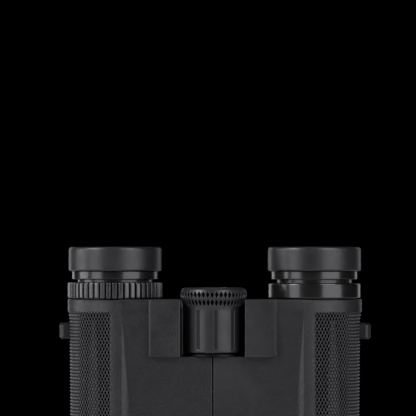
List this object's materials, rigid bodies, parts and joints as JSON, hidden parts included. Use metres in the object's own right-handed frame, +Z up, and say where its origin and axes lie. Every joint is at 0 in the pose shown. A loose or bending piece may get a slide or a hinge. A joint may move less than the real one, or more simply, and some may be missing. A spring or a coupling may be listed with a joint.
{
  "type": "binoculars",
  "caption": "Compact roof-prism binoculars in black rubber armour, with a folding hinge, focus wheel, dioptre ring and twist-up eyecups.",
  "frame": {"origin": "under the middle of the object, on the surface that the objective rims stand on", "axes": "+Z up along the optical axes towards the eyepieces, -Y the side of the focus wheel, +X the user's left barrel"},
  "size_m": [0.1154, 0.0384, 0.109],
  "materials": {
    "armour": "finely stippled matt black rubber",
    "grip": "matt black rubber with moulded diamonds",
    "eyecup": "smooth satin black rubber",
    "housing": "matt black moulded polycarbonate",
    "gloss_ring": "glossy black",
    "dioptre": "satin black rubber with moulded ribs",
    "neck": "glossy black",
    "wheel": "satin black",
    "wheel_cap": "satin black with turned rings",
    "lug": "satin black moulded plastic",
    "black_metal": "black anodised, matt",
    "steel": "plain turned steel",
    "brass": "plain turned brass",
    "coated_glass": "multicoated, faint green and violet reflections"
  },
  "bodies": {
    "left_barrel": {"left_housing": "housing", "left_armour": "armour", "left_grip": "grip", "left_objective_bezel": "black_metal", "left_objective_crown": "coated_glass", "left_objective_flint": "coated_glass", "left_prism_cage": "black_metal", "left_half_prism": "coated_glass", "left_schmidt_prism": "coated_glass", "left_prism_clip": "steel", "left_eyepiece_tube": "neck", "left_strap_lug": "lug", "left_lug_screws": "steel", "left_ocular_cell": "black_metal", "left_field_lens": "coated_glass", "left_eye_lens": "coated_glass", "left_ocular_retainer": "black_metal", "left_collar": "gloss_ring", "hinge_axle": "steel", "hinge_nut": "steel", "hinge_washers": "brass", "hinge_cap": "wheel", "focus_wheel_seat": "black_metal"},
    "right_barrel": {"right_housing": "housing", "right_armour": "armour", "right_grip": "grip", "right_objective_bezel": "black_metal", "right_objective_crown": "coated_glass", "right_objective_flint": "coated_glass", "right_prism_cage": "black_metal", "right_half_prism": "coated_glass", "right_schmidt_prism": "coated_glass", "right_prism_clip": "steel", "right_eyepiece_tube": "neck", "right_strap_lug": "lug", "right_lug_screws": "steel"},
    "focus_wheel": {"focus_wheel": "wheel", "focus_wheel_cap": "wheel_cap", "focus_wheel_screw": "steel", "focus_spindle": "brass"},
    "focus_carriage": {"focus_rod": "brass", "focus_carriage_pin": "steel", "focus_carriage_clip": "steel", "left_focus_arm": "steel", "left_focus_cell": "black_metal", "left_focus_lens": "coated_glass"},
    "right_focus": {"right_focus_arm": "steel", "right_focus_cell": "black_metal", "right_focus_lens": "coated_glass"},
    "dioptre_ring": {"right_dioptre_ring": "dioptre"},
    "right_ocular": {"right_ocular_cell": "black_metal", "right_field_lens": "coated_glass", "right_eye_lens": "coated_glass", "right_ocular_retainer": "black_metal", "right_dioptre_pin": "steel"},
    "left_eyecup_sleeve": {"left_eyecup_sleeve": "gloss_ring"},
    "left_eyecup": {"left_eyecup": "eyecup"},
    "right_eyecup_sleeve": {"right_eyecup_sleeve": "gloss_ring"},
    "right_eyecup": {"right_eyecup": "eyecup"}
  },
  "joints": [
    {"name": "fold", "type": "hinge", "parent": "left_barrel", "child": "right_barrel", "pos_m": [0, -0.0068, 0], "axis": [0, 0, -1], "range_deg": [0, 63]},
    {"name": "focus_carriage_slide", "type": "slide", "parent": "left_barrel", "child": "focus_carriage", "axis": [0, 0, 1], "range_m": [-0.00225, 0.00225]},
    {"name": "focus_turn", "type": "hinge", "parent": "left_barrel", "child": "focus_wheel", "pos_m": [0, -0.0068, 0], "axis": [0, 0, 1], "range_deg": [-271.08, 271.08]},
    {"name": "right_focus_slide", "type": "slide", "parent": "right_barrel", "child": "right_focus", "axis": [0, 0, 1], "range_m": [-0.00226, 0.00226]},
    {"name": "right_ocular_slide", "type": "slide", "parent": "right_barrel", "child": "right_ocular", "axis": [0, 0, 1], "range_m": [-0.0008, 0.0008]},
    {"name": "dioptre_turn", "type": "hinge", "parent": "right_barrel", "child": "dioptre_ring", "pos_m": [-0.037, 0.0012, 0], "axis": [0, 0, 1], "range_deg": [-50.2, 50.2]},
    {"name": "left_eyecup_rise", "type": "slide", "parent": "left_barrel", "child": "left_eyecup_sleeve", "axis": [0, 0, 1], "range_m": [0, 0.006]},
    {"name": "left_eyecup_twist", "type": "hinge", "parent": "left_eyecup_sleeve", "child": "left_eyecup", "pos_m": [0.037, 0.0012, 0], "axis": [0, 0, 1], "range_deg": [0, 120.48]},
    {"name": "right_eyecup_rise", "type": "slide", "parent": "right_barrel", "child": "right_eyecup_sleeve", "axis": [0, 0, 1], "range_m": [0, 0.006]},
    {"name": "right_eyecup_twist", "type": "hinge", "parent": "right_eyecup_sleeve", "child": "right_eyecup", "pos_m": [-0.037, 0.0012, 0], "axis": [0, 0, 1], "range_deg": [0, 120.48]}
  ],
  "couplings": [
    {"joint": "focus_turn", "follows": "focus_carriage_slide", "rad_per_m": 2094.4},
    {"joint": "right_focus_slide", "follows": "focus_carriage_slide", "ratio": 1},
    {"joint": "dioptre_turn", "follows": "right_ocular_slide", "rad_per_m": 1090.8},
    {"joint": "left_eyecup_twist", "follows": "left_eyecup_rise", "rad_per_m": 349.07},
    {"joint": "right_eyecup_twist", "follows": "right_eyecup_rise", "rad_per_m": 349.07}
  ]
}
